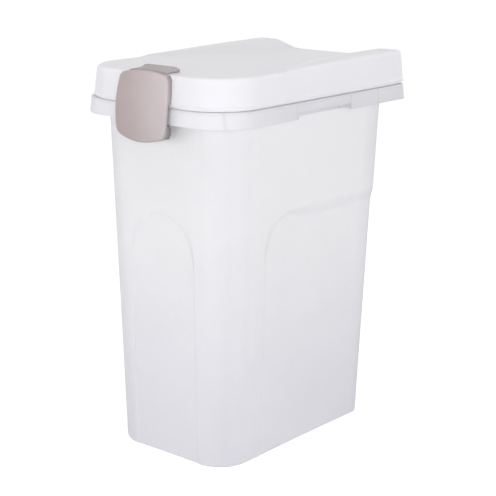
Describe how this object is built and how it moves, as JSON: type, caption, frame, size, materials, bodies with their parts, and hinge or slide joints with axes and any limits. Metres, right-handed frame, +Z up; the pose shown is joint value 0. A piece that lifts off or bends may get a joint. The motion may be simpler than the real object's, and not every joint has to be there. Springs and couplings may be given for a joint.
{
  "type": "rice bin with flip lid",
  "caption": "Upright tapered storage bin with a rimmed tub, a rear-hinged flip lid with raised rear corners, a face seal under the lid and a front hook latch.",
  "frame": {"origin": "on the floor, directly below the middle of the rim, on the tub's flat base", "axes": "+Z up, -Y towards the latch at the front, +X towards the bin's right-hand side as seen from the front"},
  "size_m": [0.216, 0.3254, 0.4182],
  "materials": {
    "tub_plastic": "translucent milky polypropylene, satin",
    "lid_plastic": "white moulded plastic, semi-gloss",
    "seal_rubber": "soft translucent silicone",
    "latch_plastic": "warm grey moulded plastic, satin",
    "pin_steel": "plain drawn wire"
  },
  "bodies": {
    "tub body": {"tub": "tub_plastic", "hinge_pin_left": "pin_steel", "hinge_pin_right": "pin_steel"},
    "lid body": {"lid": "lid_plastic", "lid_seal": "seal_rubber"},
    "latch body": {"latch": "latch_plastic", "latch_pin": "pin_steel"}
  },
  "joints": [
    {"name": "lid_hinge", "type": "hinge", "parent": "tub body", "child": "lid body", "pos_m": [0, 0.1574, 0.3804], "axis": [-1, 0, 0], "range_deg": [0, 105]},
    {"name": "latch_pivot", "type": "hinge", "parent": "lid body", "child": "latch body", "pos_m": [0, -0.1285, 0.4144], "axis": [-1, 0, 0], "range_deg": [0, 95]}
  ]
}
